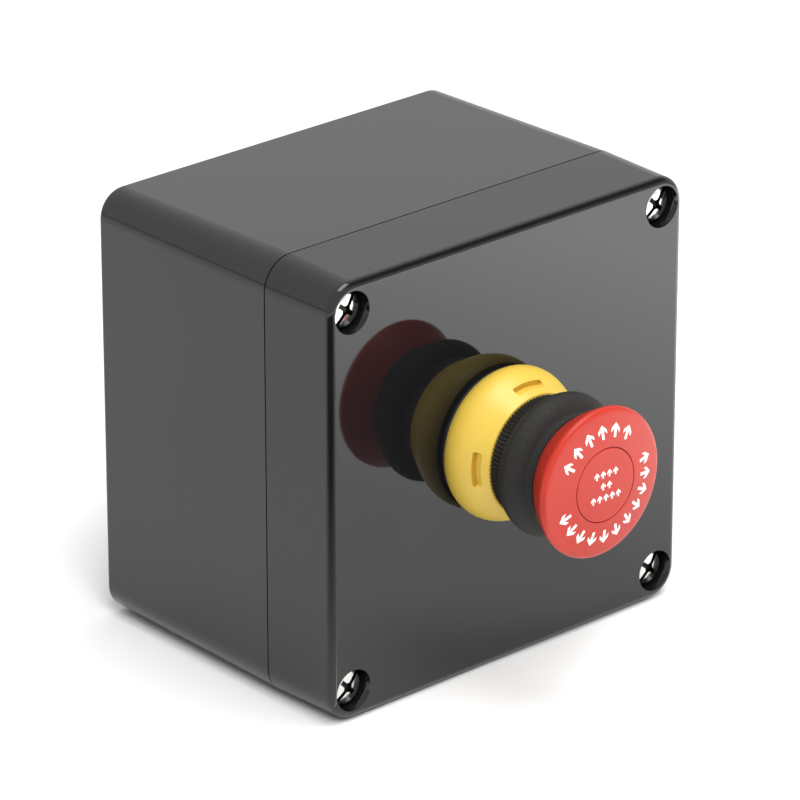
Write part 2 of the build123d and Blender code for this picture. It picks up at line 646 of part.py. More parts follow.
for side, hand in ((-1, "left"), (1, "right")):
    centre = side * block_x
    inner_x = centre - side * block_cover / 2

    with BuildPart() as contact_housing:
        block(block_width - block_cover, block_height, block_rear, block_front, [(inner_x, 0)])
        block(block_width - block_cover, block_height - 2 * block_wall, block_rear + block_wall,
              block_front - block_wall, [(inner_x + side * block_wall, 0)], Mode.SUBTRACT)
        block(plunger_width + 2 * plunger_play, plunger_height + 2 * plunger_play, block_front - 3,
            block_front + 1,
              [(centre, 0)], Mode.SUBTRACT)
        disc(terminal_head_radius + 0.2, block_rear - 1, block_rear + 3,
            [(centre, z) for z in terminal_places],
             Mode.SUBTRACT)
        with BuildSketch(Plane.XY.offset(-block_height)):
            with Locations((centre, -case_depth - terminal_front + 1.6)):
                Rectangle(6.0, 2.6)
        extrude(amount=2 * block_height, mode=Mode.SUBTRACT)
    save_on_button(contact_housing.part, f"contact_housing_{hand}")

    with BuildPart() as contact_cover:
        cover_x = centre + side * (block_width - block_cover) / 2
        block(block_cover, block_height, block_rear, block_front, [(cover_x, 0)])
        with BuildSketch(Plane(origin=(cover_x + side * block_cover / 2,
            -case_depth - clip_low - clip_length / 2, 0),
                               x_dir=(0, 1, 0), z_dir=(side, 0, 0))):
            Rectangle(clip_length, clip_height)
        extrude(amount=clip_reach)
    save_on_button(contact_cover.part, f"contact_cover_{hand}")

    with BuildPart() as contact_plunger:
        flange_low = bridge_front - 6.0
        block(plunger_width, plunger_height, flange_low + 1, pusher_rear - fit, [(centre, 0)])
        disc(3.4, flange_low, flange_low + 1.5, [(centre, 0)])
        disc(1.8, flange_low - 4.5, flange_low + 1, [(centre, 0)])
        block(bridge_width + fit, plunger_height + 2, bridge_front - bridge_thickness - fit,
            bridge_front + fit,
              [(centre, 0)], Mode.SUBTRACT)
    save_on_button(contact_plunger.part, f"contact_plunger_{hand}")

    with BuildPart() as contact_bridge:
        block(bridge_width - fit, bridge_length, bridge_front - bridge_thickness, bridge_front,
            [(centre, 0)])
        disc(tip_radius, bridge_front, bridge_front + tip_height / 2, [(centre, z) for z in tip_places])
    save_on_button(contact_bridge.part, f"contact_bridge_{hand}")

    with BuildPart() as contact_spring:
        spring_low = block_rear + block_wall + fit
        coil(contact_spring_radius, spring_wire, flange_low - spring_low - fit, 5,
            facing(spring_low, centre))
    save_on_button(contact_spring.part, f"contact_spring_{hand}")

    with BuildPart() as fixed_contacts:
        for end in (-1, 1):
            tip_z = end * tip_spacing / 2
            leg_z = end * leg_reach
            foot_start = leg_reach - strip_thickness / 2
            foot_end = block_height / 2 - block_wall - 0.2
            foot_z = end * (foot_start + foot_end) / 2
            block(bridge_width, leg_reach - tip_spacing / 2 + 1.8, strip_front,
                strip_front + strip_thickness,
                  [(centre, (tip_z + leg_z) / 2 - end * 0.9)])
            block(bridge_width, strip_thickness, terminal_front, strip_front + strip_thickness,
                [(centre, leg_z)])
            block(bridge_width + 2, foot_end - foot_start, terminal_front, terminal_front + strip_thickness,
                  [(centre, foot_z)])
            disc(tip_radius, strip_front - tip_height / 2, strip_front + 0.2, [(centre, tip_z)])
        disc(terminal_screw_radius + fit, block_rear, strip_front - 3,
            [(centre, z) for z in terminal_places],
             Mode.SUBTRACT)
    save_on_button(fixed_contacts.part, f"fixed_contacts_{hand}")

    with BuildPart() as terminal_screws:
        places = [(centre, z) for z in terminal_places]
        disc(terminal_head_radius, screw_seat_low - 2.0, screw_seat_low, places)
        disc(terminal_screw_radius, screw_seat_low - 1, terminal_front + 4.0, places)
        block(2 * terminal_head_radius + 1, 0.8, screw_seat_low - 5, screw_seat_low - 1.1, places,
            Mode.SUBTRACT)
    save_on_button(terminal_screws.part, f"terminal_screws_{hand}")

    with BuildPart() as terminal_clamps:
        block(bridge_width + 1.6, 5.4, screw_seat_low + fit, screw_seat_low + 1.0, places)
        disc(terminal_screw_radius + fit, block_rear, 0, places, Mode.SUBTRACT)
    save_on_button(terminal_clamps.part, f"terminal_clamps_{hand}")
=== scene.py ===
import bpy
import bmesh
import json
import math
from mathutils import Matrix, Vector

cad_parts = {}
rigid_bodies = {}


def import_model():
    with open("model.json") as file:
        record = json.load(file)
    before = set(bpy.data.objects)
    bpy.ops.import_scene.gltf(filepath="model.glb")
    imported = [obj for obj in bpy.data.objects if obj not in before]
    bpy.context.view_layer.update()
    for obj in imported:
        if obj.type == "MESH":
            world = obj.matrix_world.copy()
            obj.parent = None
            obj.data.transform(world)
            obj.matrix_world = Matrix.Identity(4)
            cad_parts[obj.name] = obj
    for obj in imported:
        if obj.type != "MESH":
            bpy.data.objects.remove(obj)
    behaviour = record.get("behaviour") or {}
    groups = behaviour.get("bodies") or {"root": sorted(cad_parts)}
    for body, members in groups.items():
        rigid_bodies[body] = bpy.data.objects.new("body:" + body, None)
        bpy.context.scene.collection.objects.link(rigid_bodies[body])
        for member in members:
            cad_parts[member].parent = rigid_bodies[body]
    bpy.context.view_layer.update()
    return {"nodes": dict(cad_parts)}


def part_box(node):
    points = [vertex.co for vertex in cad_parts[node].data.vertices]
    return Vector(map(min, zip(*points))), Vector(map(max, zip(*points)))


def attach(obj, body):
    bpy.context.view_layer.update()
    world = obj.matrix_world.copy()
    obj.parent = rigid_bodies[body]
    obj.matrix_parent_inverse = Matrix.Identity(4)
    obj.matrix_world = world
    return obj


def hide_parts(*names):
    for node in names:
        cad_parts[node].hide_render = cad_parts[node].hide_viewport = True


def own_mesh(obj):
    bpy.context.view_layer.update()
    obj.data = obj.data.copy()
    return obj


for leftover in list(bpy.data.objects):
    bpy.data.objects.remove(leftover)
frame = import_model()
nodes = frame["nodes"]
mm = 0.001
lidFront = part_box("lid")[0].y          # stand-offs are measured outwards from the lid's face
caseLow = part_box("base_box")[0].z
headLow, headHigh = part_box("mushroom_head")
buttonX, buttonZ = (headLow.x + headHigh.x) / 2, (headLow.z + headHigh.z) / 2
print("frame loaded:", len(nodes), "pieces")


# the room: places are in metres, turns and leans in degrees
studio = {
    "lens": 247.5, "place": (-0.8748, -1.0217, 0.5669), "yaw": 41.95, "pitch": 23.44,
    "roomLight": 0.95, "roomFill": 0.5,
    "floorColour": (0.86, 0.86, 0.86, 1), "floorSize": 6.0, "floorDrop": 0.0002, "cardLift": 0.001,
    "floorGrain": {"scale": 900, "strength": 0.05, "depth": 0.0002},
    "lamps": [  # name, place, size, watts
        ("keyBox", (-0.75, -1.1, 1.3), 0.8, 22),
        ("topBox", (0.1, -0.35, 1.6), 1.1, 20),
        ("sideBox", (1.3, -0.9, 0.8), 0.7, 11),
    ],
    "softLamps": ("keyBox", "sideBox"),  # lamps whose shape doesn't show in the gloss
    "flags": [  # dark cards that only the gloss sees: name, place, size, where it faces, how dense
        ("topFlag", (0.64, -0.52, 0.72), (1.5, 1.3), (0, -0.09, 0.06), 1.0),
        ("cornerFlag", (-0.23, -0.3, -0.0585), (0.5, 0.6), None, 1.3),
    ],
    "flagTurn": 20,
    # a bright wedge on the floor, and a wide soft glow in front of the box
    "strip": {"start": (-0.061, -0.0915), "turn": 297, "length": 0.4, "width": 0.12, "nearShare": 0.01,
              "glow": 5.0, "fade": 2.0, "tip": 0.0005},
    "fill": {"low": (0.0, -0.75), "high": (0.75, -0.1), "most": 1.7, "across": (8.5, 0.05), "out": (2.0, 0.15),
             "fade": 4.0},
}


def lookAt(place, target):
    return (Vector(target) - Vector(place)).to_track_quat("-Z", "Y").to_euler()


def addCard(name, low, high, place, turn, material, nearShare=1.0):
    # a flat sheet of light or dark that shows only in glossy surfaces, its near end narrowed to nearShare
    bm = bmesh.new()
    bmesh.ops.create_grid(bm, x_segments=1, y_segments=1, size=0.5)
    bmesh.ops.scale(bm, verts=bm.verts[:], vec=(high[0] - low[0], high[1] - low[1], 1))
    near = [vert for vert in bm.verts if vert.co.x < 0]
    bmesh.ops.scale(bm, verts=near, vec=(1, nearShare, 1))
    bmesh.ops.translate(bm, verts=bm.verts[:], vec=((low[0] + high[0]) / 2, (low[1] + high[1]) / 2, 0))
    mesh = bpy.data.meshes.new(name)
    bm.to_mesh(mesh)
    bm.free()
    mesh.materials.append(material)
    card = bpy.data.objects.new(name, mesh)
    card.location = place
    card.rotation_euler = turn
    for ray in ("camera", "diffuse", "shadow", "transmission", "volume_scatter"):
        setattr(card, "visible_" + ray, False)
    bpy.context.scene.collection.objects.link(card)


def cardMaterial(name, strength):
    # light that adds to whatever lies behind it; strength is a function of the card's own paint
    paint = Paint(name, (0, 0, 0, 1), 1.0)
    glow = paint.add("ShaderNodeEmission", inputs={"Strength": strength(paint)})
    clear = paint.add("ShaderNodeBsdfTransparent")
    paint.surface(paint.add("ShaderNodeAddShader", inputs={0: glow, 1: clear}))
    return paint.material


def flagMaterial(name, half, density):
    # black cloth that thins out towards its edges
    paint = Paint(name, (0, 0, 0, 1), 1.0)
    across = paint.axis(0) * (1 / half[0])
    along = paint.axis(1) * (1 / half[1])
    cover = ((1.0 - (across * across + along * along)) * density).atLeast(0.0)
    black = paint.add("ShaderNodeEmission", inputs={"Strength": 0.0})
    clear = paint.add("ShaderNodeBsdfTransparent")
    paint.surface(paint.add("ShaderNodeMixShader", inputs={0: cover, 1: clear, 2: black}))
    return paint.material


def buildCards(values):
    cardLevel = caseLow + values["cardLift"]
    for name, place, size, target, density in values["flags"]:
        half = (size[0] / 2, size[1] / 2)
        turn = lookAt(place, target) if target else (0, 0, math.radians(values["flagTurn"]))
        addCard(name, (-half[0], -half[1]), half, place, turn, flagMaterial(name + "Cloth", half, density))
    strip = values["strip"]

    def stripGlow(paint):
        along, across = paint.axis(0), paint.axis(1)
        share = across.size() / (along * strip["width"] + strip["tip"])
        return ((1.0 - share * strip["fade"]) * strip["glow"]).atLeast(0.0)

    addCard("stripCard", (0, -strip["width"] / 2), (strip["length"], strip["width"] / 2),
            (*strip["start"], cardLevel + values["cardLift"]), (0, 0, math.radians(strip["turn"])),
            cardMaterial("stripLight", stripGlow), strip["nearShare"])
    fill = values["fill"]

    def fillGlow(paint):
        across, out = paint.axis(0), paint.axis(1)
        level = (across - fill["across"][1]) * fill["across"][0] - (out + fill["out"][1]) * fill["out"][0]
        fade = (fill["high"][0] - across) * fill["fade"]
        return level.atLeast(0.0).atMost(fill["most"]) * fade.atLeast(0.0).atMost(1.0)

    addCard("fillCard", fill["low"], fill["high"], (0, 0, cardLevel), (0, 0, 0),
            cardMaterial("fillLight", fillGlow))


def buildStudio(values):
    scene = bpy.context.scene
    camera = bpy.data.objects.new("camera", bpy.data.cameras.new("camera"))
    camera.data.lens = values["lens"]
    camera.data.sensor_width = 36
    camera.data.clip_end = 30
    camera.location = values["place"]
    camera.rotation_euler = (math.radians(90 - values["pitch"]), 0, -math.radians(values["yaw"]))
    scene.collection.objects.link(camera)
    scene.camera = camera
    scene.view_settings.view_transform = "Standard"
    world = bpy.data.worlds.new("room")
    world.use_nodes = True
    tree = world.node_tree
    background = tree.nodes["Background"].inputs
    background["Color"].default_value = (1, 1, 1, 1)
    path = tree.nodes.new("ShaderNodeLightPath")
    level = tree.nodes.new("ShaderNodeMapRange")  # the room looks brighter in the gloss than it lights
    level.inputs["To Min"].default_value = values["roomLight"]
    level.inputs["To Max"].default_value = values["roomFill"]
    tree.links.new(path.outputs["Is Diffuse Ray"], level.inputs["Value"])
    tree.links.new(level.outputs["Result"], background["Strength"])
    scene.world = world
    for name, place, size, watts in values["lamps"]:
        lamp = bpy.data.objects.new(name, bpy.data.lights.new(name, "AREA"))
        lamp.data.shape = "SQUARE"
        lamp.data.size = size
        lamp.data.energy = watts
        lamp.location = place
        lamp.rotation_euler = lookAt(place, (0, -0.06, 0))
        lamp.visible_camera = False
        lamp.visible_glossy = name not in values["softLamps"]
        scene.collection.objects.link(lamp)
    bm = bmesh.new()
    bmesh.ops.create_grid(bm, x_segments=1, y_segments=1, size=values["floorSize"])
    bmesh.ops.translate(bm, verts=bm.verts[:], vec=(0, 0, caseLow - values["floorDrop"]))
    mesh = bpy.data.meshes.new("floor")
    bm.to_mesh(mesh)
    bm.free()
    floor = bpy.data.objects.new("floor", mesh)
    scene.collection.objects.link(floor)
    paper = Paint("paleFloor", values["floorColour"], 0.9)
    grain = values["floorGrain"]
    paper.bump(paper.noise(grain["scale"], 2), grain["strength"], grain["depth"])
    mesh.materials.append(paper.material)


class Wire:  # one output socket that can be used in plain sums
    def __init__(self, paint, socket):
        self.paint, self.socket = paint, socket

    def sum(self, operation, *values):
        return self.paint.add("ShaderNodeMath", {"operation": operation}, dict(enumerate(values)))

    def __add__(self, other):
        return self.sum("ADD", self, other)

    def __sub__(self, other):
        return self.sum("SUBTRACT", self, other)

    def __rsub__(self, other):
        return self.sum("SUBTRACT", other, self)

    def __mul__(self, other):
        return self.sum("MULTIPLY", self, other)

    def __truediv__(self, other):
        return self.sum("DIVIDE", self, other)

    __radd__ = __add__
    __rmul__ = __mul__

    def root(self):
        return self.sum("SQRT", self)

    def size(self):
        return self.sum("ABSOLUTE", self)

    def atLeast(self, other):
        return self.sum("MAXIMUM", self, other)

    def atMost(self, other):
        return self.sum("MINIMUM", self, other)

    def between(self, low, high):  # 1 between the two, 0 outside
        return self.sum("GREATER_THAN", self, low) * self.sum("LESS_THAN", self, high)


class Paint:  # one material, with Object coordinates ready for use
    def __init__(self, name, colour, roughness, metallic=0.0, **fixed):
        self.material = bpy.data.materials.new(name)
        self.material.use_nodes = True
        self.tree = self.material.node_tree
        self.shader = self.tree.nodes["Principled BSDF"]
        self.place = self.add("ShaderNodeTexCoord", output="Object")
        self.set(Base_Color=colour, Roughness=roughness, Metallic=metallic, **fixed)

    def add(self, kind, settings=None, inputs=None, output=0):
        node = self.tree.nodes.new(kind)
        for key, value in (settings or {}).items():
            if key == "stops":
                self.ramp(node.color_ramp.elements, value)
            else:
                setattr(node, key, value)
        for key, value in (inputs or {}).items():
            if isinstance(value, Wire):
                self.tree.links.new(value.socket, node.inputs[key])
            else:
                node.inputs[key].default_value = value
        return Wire(self, node.outputs[output])

    def ramp(self, elements, stops):
        while len(elements) < len(stops):
            elements.new(1)
        for element, (position, grey) in zip(elements, stops):
            element.position = position
            element.color = (grey, grey, grey, 1)

    def set(self, **sockets):
        for name, value in sockets.items():
            socket = self.shader.inputs[name.replace("_", " ")]
            if isinstance(value, Wire):
                self.tree.links.new(value.socket, socket)
            else:
                socket.default_value = value

    def surface(self, shader):  # shows another shader in place of the plain one
        self.tree.links.new(shader.socket, self.tree.nodes["Material Output"].inputs["Surface"])

    def axis(self, part, place=None):
        return self.add("ShaderNodeSeparateXYZ", inputs={"Vector": place or self.place}, output=part)

    def noise(self, scale, detail=3.0, rough=0.5, stretch=None):
        place = self.place
        if stretch:
            place = self.add("ShaderNodeMapping", inputs={"Vector": place, "Scale": stretch})
        return self.add("ShaderNodeTexNoise", inputs={"Vector": place, "Scale": scale, "Detail": detail,
                                                      "Roughness": rough})

    def speckle(self, scale, low, high):  # scattered small dots: 1 in a dot, 0 between
        cells = self.add("ShaderNodeTexVoronoi", inputs={"Vector": self.place, "Scale": scale})
        return self.step(cells, low, high, True)

    def step(self, value, low, high, falling=False):
        ends = [(low, 1.0), (high, 0.0)] if falling else [(low, 0.0), (high, 1.0)]
        return self.add("ShaderNodeValToRGB", {"stops": ends}, {"Fac": value})

    def blend(self, factor, first, second):
        return self.add("ShaderNodeMix", {"data_type": "RGBA"}, {0: factor, 6: first, 7: second}, output=2)

    def bump(self, height, strength, distance):
        self.set(Normal=self.add("ShaderNodeBump", inputs={"Height": height, "Strength": strength,
                                                           "Distance": distance}))


def shade(colour, factor):
    return (colour[0] * factor, colour[1] * factor, colour[2] * factor, 1)


buildStudio(studio)
buildCards(studio)
print("studio ready")


caseFinish = {
    "colour": (0.0062, 0.0062, 0.0068, 1), "lighter": 1.4, "gloss": 0.025, "waviness": 0.04,
    "flow": 38, "grain": 2600, "dust": 900, "dustDots": (0.02, 0.05), "dustColour": (0.1, 0.1, 0.1, 1),
}


def enclosureBlack():
    # polished moulding: faint flow marks, very fine grain and a little dust
    colour = caseFinish["colour"]
    paint = Paint("enclosureBlack", colour, 0.05, IOR=1.5)
    flow = paint.noise(caseFinish["flow"], 2, 0.5, (1, 1, 0.6))
    grain = paint.noise(caseFinish["grain"], 2)
    dust = paint.speckle(caseFinish["dust"], *caseFinish["dustDots"])
    body = paint.blend(flow, colour, shade(colour, caseFinish["lighter"]))
    paint.set(Base_Color=paint.blend(dust * 0.2, body, caseFinish["dustColour"]),
              Roughness=caseFinish["gloss"] + flow * 0.04 + dust * 0.3)
    paint.bump(flow * 0.9 + grain * 0.02, caseFinish["waviness"], 0.0003)
    return paint.material


def plasticMaterial(name, colour, roughness, grainScale=1800, grainDepth=0.00005, **fixed):
    # moulded plastic: slow changes of colour over a fine grain
    def build():
        paint = Paint(name, colour, roughness, **fixed)
        cloud = paint.noise(120, 3)
        grain = paint.noise(grainScale, 2)
        paint.set(Base_Color=paint.blend(cloud, shade(colour, 0.9), shade(colour, 1.08)),
                  Roughness=roughness - 0.06 + cloud * 0.12)
        paint.bump(grain + cloud * 0.4, 0.25, grainDepth)
        return paint.material
    return build


def metalMaterial(name, colour, roughness, stretch=(1, 1, 1), scale=700):
    # bare or plated metal: fine drawn lines and a few duller patches
    def build():
        paint = Paint(name, colour, roughness, 1.0)
        lines = paint.noise(scale, 4, 0.6, stretch)
        stain = paint.noise(140, 3)
        paint.set(Base_Color=paint.blend(paint.step(stain, 0.45, 0.75), colour, shade(colour, 0.72)),
                  Roughness=roughness - 0.05 + lines * 0.16)
        paint.bump(lines, 0.2, 0.00004)
        return paint.material
    return build


collar = {  # the four moulded slots get a painted shade, a darker tint laid over their walls and floors: millimetres and degrees
    "colour": (0.62, 0.425, 0.06, 1), "radius": (17.2, 18.45), "standOff": (10.2, 11.15), "halfAngle": 14.8,
    "slotShadeTint": (0.74, 0.592, 0.3),
}


def collarYellow():
    colour = collar["colour"]
    paint = Paint("collarYellow", colour, 0.36)
    cloud = paint.noise(120, 3)
    grain = paint.noise(1500, 2)
    offset = (-buttonX, -lidFront, -buttonZ)
    local = paint.add("ShaderNodeMapping", inputs={"Vector": paint.place, "Location": offset})
    across, out, up = [paint.axis(part, local) for part in range(3)]
    inner, outer = collar["radius"]
    floor, top = collar["standOff"]
    reach = outer * mm * math.sin(math.radians(collar["halfAngle"]))
    inRing = (across * across + up * up).root().between(inner * mm, outer * mm)
    inDepth = out.between(-top * mm, -floor * mm)
    nearest = across.size().atMost(up.size())
    # mask of the four slot recesses: shade is painted into the colour there, and the surface is made rougher
    slotShadeMask = inRing * inDepth * nearest.sum("LESS_THAN", nearest, reach)
    body = paint.blend(cloud, shade(colour, 0.92), shade(colour, 1.08))
    # the slot colour is the yellow darkened by painted shade
    slotShadeColour = tuple(part * tint for part, tint in zip(colour, collar["slotShadeTint"])) + (1,)
    paint.set(Base_Color=paint.blend(slotShadeMask, body, slotShadeColour), Roughness=0.3 + cloud * 0.12 + slotShadeMask * 0.2)
    paint.bump(grain + cloud * 0.4, 0.25, 0.00005)
    return paint.material


def bellowsRubber():
    # matt rubber with a bloom of pale dust
    colour = (0.014, 0.0135, 0.0125, 1)
    paint = Paint("bellowsRubber", colour, 0.72, Specular_IOR_Level=0.35)
    cloud = paint.noise(160, 4, 0.6)
    grain = paint.noise(1500, 3, 0.7)
    dust = paint.speckle(1500, 0.08, 0.2)
    body = paint.blend(cloud, shade(colour, 0.75), shade(colour, 1.3))
    paint.set(Base_Color=paint.blend(dust * cloud * 0.5, body, (0.16, 0.15, 0.14, 1)),
              Roughness=0.62 + grain * 0.2)
    paint.bump(grain, 0.35, 0.0001)
    return paint.material


finishes = {
    "enclosure_black": enclosureBlack,
    "seal_rubber": plasticMaterial("sealRubber", (0.018, 0.018, 0.018, 1), 0.7, 1500, 0.0001),
    "screw_steel": metalMaterial("screwNickel", (0.7, 0.69, 0.665, 1), 0.14),
    "brass_plain": metalMaterial("turnedBrass", (0.72, 0.5, 0.2, 1), 0.28, (1, 8, 1)),
    "collar_yellow": collarYellow,
    "ring_black": plasticMaterial("ringBlack", (0.012, 0.0115, 0.011, 1), 0.4),
    "bellows_rubber": bellowsRubber,
    "head_red": plasticMaterial("headRed", (0.43, 0.027, 0.014, 1), 0.36, Specular_IOR_Level=0.36),
    "barrel_black": plasticMaterial("barrelBlack", (0.02, 0.02, 0.02, 1), 0.5),
    "stem_white": plasticMaterial("stemWhite", (0.74, 0.73, 0.68, 1), 0.42),
    "steel_zinc": metalMaterial("zincPlate", (0.62, 0.63, 0.62, 1), 0.3),
    "spring_steel": metalMaterial("springWire", (0.5, 0.5, 0.5, 1), 0.26),
    "block_grey": plasticMaterial("blockGrey", (0.22, 0.225, 0.235, 1), 0.48),
    "block_cover": plasticMaterial("blockCover", (0.5, 0.51, 0.5, 1), 0.45),
    "plunger_red": plasticMaterial("plungerRed", (0.5, 0.05, 0.03, 1), 0.42),
    "contact_silver": metalMaterial("contactSilver", (0.8, 0.77, 0.7, 1), 0.24),
}
slotMaterials = {slot: build() for slot, build in finishes.items()}
slotMaterials["print_white"] = plasticMaterial("printWhite", (0.85, 0.85, 0.83, 1), 0.5)()
# the walls and floor of each screw slot are a near-black metal: painted shade in the recess
slotMaterials["slot_shade"] = metalMaterial("screwSlotPaintedShade", (0.045, 0.043, 0.04, 1), 0.42)()
for node in nodes.values():
    for slot in node.material_slots:
        slot.material = slotMaterials[slot.material.name]
print("materials ready:", len(slotMaterials))


def at(radius, standOff):
    return (buttonX + radius * mm, lidFront - standOff * mm, buttonZ)


def spinProfile(points, steps=180):
    # a ring about the button's axis from (radius, stand-off, rounding) corners in millimetres
    bm = bmesh.new()
    corners = [bm.verts.new(at(radius, standOff)) for radius, standOff, _ in points]
    for first, second in zip(corners, corners[1:] + corners[:1]):
        bm.edges.new((first, second))
    for size in sorted({rounding for _, _, rounding in points if rounding}):
        rounded = [corner for corner, point in zip(corners, points) if point[2] == size]
        bmesh.ops.bevel(bm, geom=rounded, offset=size * mm, offset_type="OFFSET", segments=5, profile=0.5,
                        affect="VERTICES", material=-1)
    bmesh.ops.spin(bm, geom=bm.verts[:] + bm.edges[:], cent=at(0, 0), axis=(0, 1, 0), angle=2 * math.pi,
                   steps=steps, use_merge=True)
    bmesh.ops.remove_doubles(bm, verts=bm.verts[:], dist=1e-7)
    bmesh.ops.recalc_face_normals(bm, faces=bm.faces[:])
    return bm


def finishPiece(bm, name, body, slot, replaced=(), material=None, second=None, sharp=35):
    # turns a bmesh into a named piece on its body; edges over "sharp" degrees stay crisp
    mesh = bpy.data.meshes.new(name)
    bm.to_mesh(mesh)
    bm.free()
    mesh.materials.append(slotMaterials[material or slot])
    if second:
        mesh.materials.append(slotMaterials[second])
    mesh.shade_smooth()
    mesh.set_sharp_from_angle(angle=math.radians(sharp))
    piece = bpy.data.objects.new(name, mesh)
    bpy.context.scene.collection.objects.link(piece)
    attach(piece, body)
    if replaced:
        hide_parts(*replaced)
    return piece


# radii and stand-offs from the lid, in millimetres
head = {
    "radius": 20.0, "back": 29.6, "neck": 15.2, "taper": (17.5, 32.5),
    "rimBottom": 36.2, "rimTop": 38.2, "top": 39.8,
    "pocketRadius": 9.95, "pocketFloor": 38.5, "discRadius": 9.75, "discCrown": 0.3,
    "hubRadius": 8.0, "hubBottom": 24.6, "screwHole": 2.1, "screwPocket": 4.2, "screwSeat": 35.5,
    "rimInset": 0.9, "lip": 0.25, "domeSteps": 12, "discSteps": 8, "discGap": 0.05,
}
marks = {  # arrows: first angle, last angle and count on the ring, then height and count of each row
    "upper": (57, 147, 6), "lower": (203, 373, 11), "radius": 14.3, "width": 2.9, "height": 3.7, "stroke": 0.8,
    "rows": [(3.2, 4), (0.0, 2), (-3.2, 5)],
    "rowPitch": 2.15, "rowWidth": 1.6, "rowHeight": 2.0, "rowStroke": 0.48,
    "proud": 0.04, "depth": 0.12,
}


def domeStandOff(radius):
    edge = head["radius"] - head["rimInset"]
    rise = head["top"] - (head["rimTop"] + head["lip"])
    span = edge ** 2 - head["pocketRadius"] ** 2
    return head["top"] - rise * (radius ** 2 - head["pocketRadius"] ** 2) / span


def discStandOff(radius):
    return head["top"] + head["discCrown"] * (1 - (radius / head["discRadius"]) ** 2)


def buildHead(values):
    edge = values["radius"]
    inner = values["pocketRadius"] + values["lip"]
    dome = []
    for step in range(values["domeSteps"] + 1):
        radius = inner + (edge - values["rimInset"] - inner) * step / values["domeSteps"]
        dome.append((radius, domeStandOff(radius), 0))
    profile = [
        (values["pocketRadius"], values["pocketFloor"], 0),
        (values["pocketRadius"], values["top"] - 0.02, 0.12),
        *dome,
        (edge - 0.25, values["rimTop"] - 0.05, 0.5), (edge, values["rimTop"] - 1.1, 0.6),
        (edge - 0.4, values["rimBottom"], 0.5), (*values["taper"], 1.5),
        (values["neck"], values["back"], 0.2), (values["hubRadius"], values["back"], 0.3),
        (values["hubRadius"], values["hubBottom"], 0.3), (values["screwHole"], values["hubBottom"], 0),
        (values["screwHole"], values["screwSeat"], 0), (values["screwPocket"], values["screwSeat"], 0),
        (values["screwPocket"], values["pocketFloor"], 0),
    ]
    finishPiece(spinProfile(profile), "mushroomHead", "head", "head_red", ["mushroom_head"])
    discLow = values["pocketFloor"] + values["discGap"]
    disc = [(0, discLow, 0), (values["discRadius"], discLow, 0),
            (values["discRadius"], values["top"] - 0.02, 0.15)]
    for step in range(values["discSteps"] + 1):
        radius = (values["discRadius"] - 0.3) * (1 - step / values["discSteps"])
        disc.append((radius, discStandOff(radius), 0))
    finishPiece(spinProfile(disc), "legendDisc", "head", "head_red", ["legend_disc"])


def addArrow(bm, centre, turn, size, surface):
    # a plain arrow that lies on the crown, turned by "turn" degrees from straight up
    width, height, stroke = size
    tip, half = height / 2, width / 2
    barb, crotch, shaft = tip - half - stroke * 1.3, tip - stroke * 1.75, stroke / 2
    corners = [(0, tip), (half, tip - half), (half, barb), (shaft, crotch), (shaft, -tip),
               (-shaft, -tip), (-shaft, crotch), (-half, barb), (-half, tip - half)]
    outline = [bm.verts.new((x, 0, z)) for x, z in corners]
    bm.faces.new(outline)
    spin = Matrix.Rotation(-math.radians(turn), 4, "Y")
    bmesh.ops.transform(bm, matrix=Matrix.Translation((centre[0], 0, centre[1])) @ spin, verts=outline)
    for vert in outline:
        standOff = surface(math.hypot(vert.co.x, vert.co.z)) + marks["proud"]
        vert.co = (buttonX + vert.co.x * mm, lidFront - standOff * mm, buttonZ + vert.co.z * mm)


def thicken(bm, depth):
    # gives flat marks a body that reaches into the surface under them
    extruded = bmesh.ops.extrude_face_region(bm, geom=bm.faces[:], use_keep_orig=True)
    back = [item for item in extruded["geom"] if isinstance(item, bmesh.types.BMVert)]
    bmesh.ops.translate(bm, verts=back, vec=(0, depth * mm, 0))
    bmesh.ops.recalc_face_normals(bm, faces=bm.faces[:])
    bmesh.ops.triangulate(bm, faces=[face for face in bm.faces if len(face.verts) > 4])


def buildMarks(values):
    ringSize = (values["width"], values["height"], values["stroke"])
    bm = bmesh.new()
    for start, end, count in (values["upper"], values["lower"]):
        for step in range(count):
            angle = start + (end - start) * step / (count - 1)
            turn = math.radians(angle)
            centre = (values["radius"] * math.cos(turn), values["radius"] * math.sin(turn))
            addArrow(bm, centre, angle - 90, ringSize, domeStandOff)
    thicken(bm, values["depth"])
    finishPiece(bm, "headMarks", "head", "head_red", material="print_white")
    rowSize = (values["rowWidth"], values["rowHeight"], values["rowStroke"])
    bm = bmesh.new()
    for height, count in values["rows"]:
        for step in range(count):
            centre = ((step - (count - 1) / 2) * values["rowPitch"], height)
            addArrow(bm, centre, 0, rowSize, discStandOff)
    thicken(bm, values["depth"])
    finishPiece(bm, "discMarks", "head", "head_red", material="print_white")


buildHead(head)
buildMarks(marks)
print("head ready")


# the rubber boot between the clamp ring and the head
bellows = {
    "bulge": 19.0, "bulgeTop": 24.0, "wall": 1.2, "waist": 15.0, "ringTop": 19.2, "footRadius": 12.3,
    "footInner": 10.4, "footLow": 17.35, "lipTop": 29.55, "lipRadius": 15.6, "hubClear": 8.1,
}


